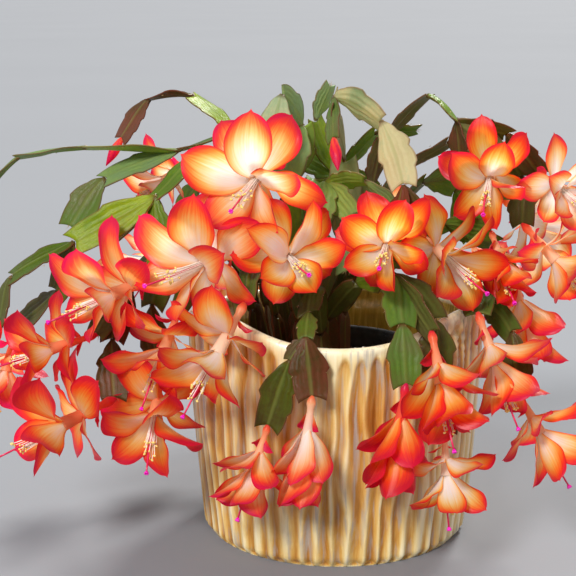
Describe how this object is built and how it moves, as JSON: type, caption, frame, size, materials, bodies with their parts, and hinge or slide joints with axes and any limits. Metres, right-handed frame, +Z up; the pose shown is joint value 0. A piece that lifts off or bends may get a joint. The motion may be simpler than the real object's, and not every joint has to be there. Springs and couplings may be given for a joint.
{
  "type": "potted christmas cactus",
  "caption": "Fluted glazed stoneware planter with a christmas cactus: arching chains of flat toothed segments that hang over the rim and carry large orange-red to pink blooms.",
  "frame": {"origin": "centre of the planter's foot, on the surface that it stands on", "axes": "+Z up; the picture was taken from the -Y side, with +X to its right"},
  "size_m": [0.4355, 0.3472, 0.3116],
  "materials": {
    "glazed_stoneware": "gloss",
    "black_plastic": "gloss",
    "potting_mix": "matte",
    "stem_skin": "satin",
    "petal": "satin",
    "bud": "satin",
    "stamen": "matte",
    "stigma": "satin"
  },
  "bodies": {
    "root": {"planter": "glazed_stoneware", "nursery_pot": "black_plastic", "soil": "potting_mix", "stem_left_far": "stem_skin", "stem_left_front": "stem_skin", "stem_left_low": "stem_skin", "stem_front_a": "stem_skin", "stem_front_b": "stem_skin", "stem_front_c": "stem_skin", "stem_centre": "stem_skin", "stem_pale_right": "stem_skin", "stem_right_arch": "stem_skin", "stem_right_back": "stem_skin", "stem_right_mid": "stem_skin", "stem_shoulder": "stem_skin", "stem_front_right": "stem_skin", "stem_crown": "stem_skin", "stem_inner": "stem_skin", "stem_back_left": "stem_skin", "stem_back_mid": "stem_skin", "stem_back_right": "stem_skin", "bloom_a": "petal", "bloom_b": "petal", "bloom_c": "petal", "bloom_d": "petal", "bloom_e1": "petal", "bloom_e2": "petal", "bloom_g": "petal", "bloom_h": "petal", "bloom_i": "petal", "bloom_j": "petal", "bloom_l": "petal", "bloom_m": "petal", "bloom_n1": "petal", "bloom_n2": "petal", "bloom_o": "petal", "bloom_p": "petal", "bloom_q": "petal", "bloom_q2": "petal", "bloom_r": "petal", "bloom_s": "petal", "bloom_s2": "petal", "bloom_t": "petal", "bloom_u": "petal", "bloom_v": "petal", "bloom_x": "petal", "bloom_y": "petal", "bloom_back_1": "petal", "bloom_back_2": "petal", "bloom_back_3": "petal", "bloom_back_4": "petal", "bloom_back_5": "petal", "bloom_back_6": "petal", "bud_left": "bud", "bud_edge": "bud", "bud_top": "bud"}
  },
  "joints": []
}
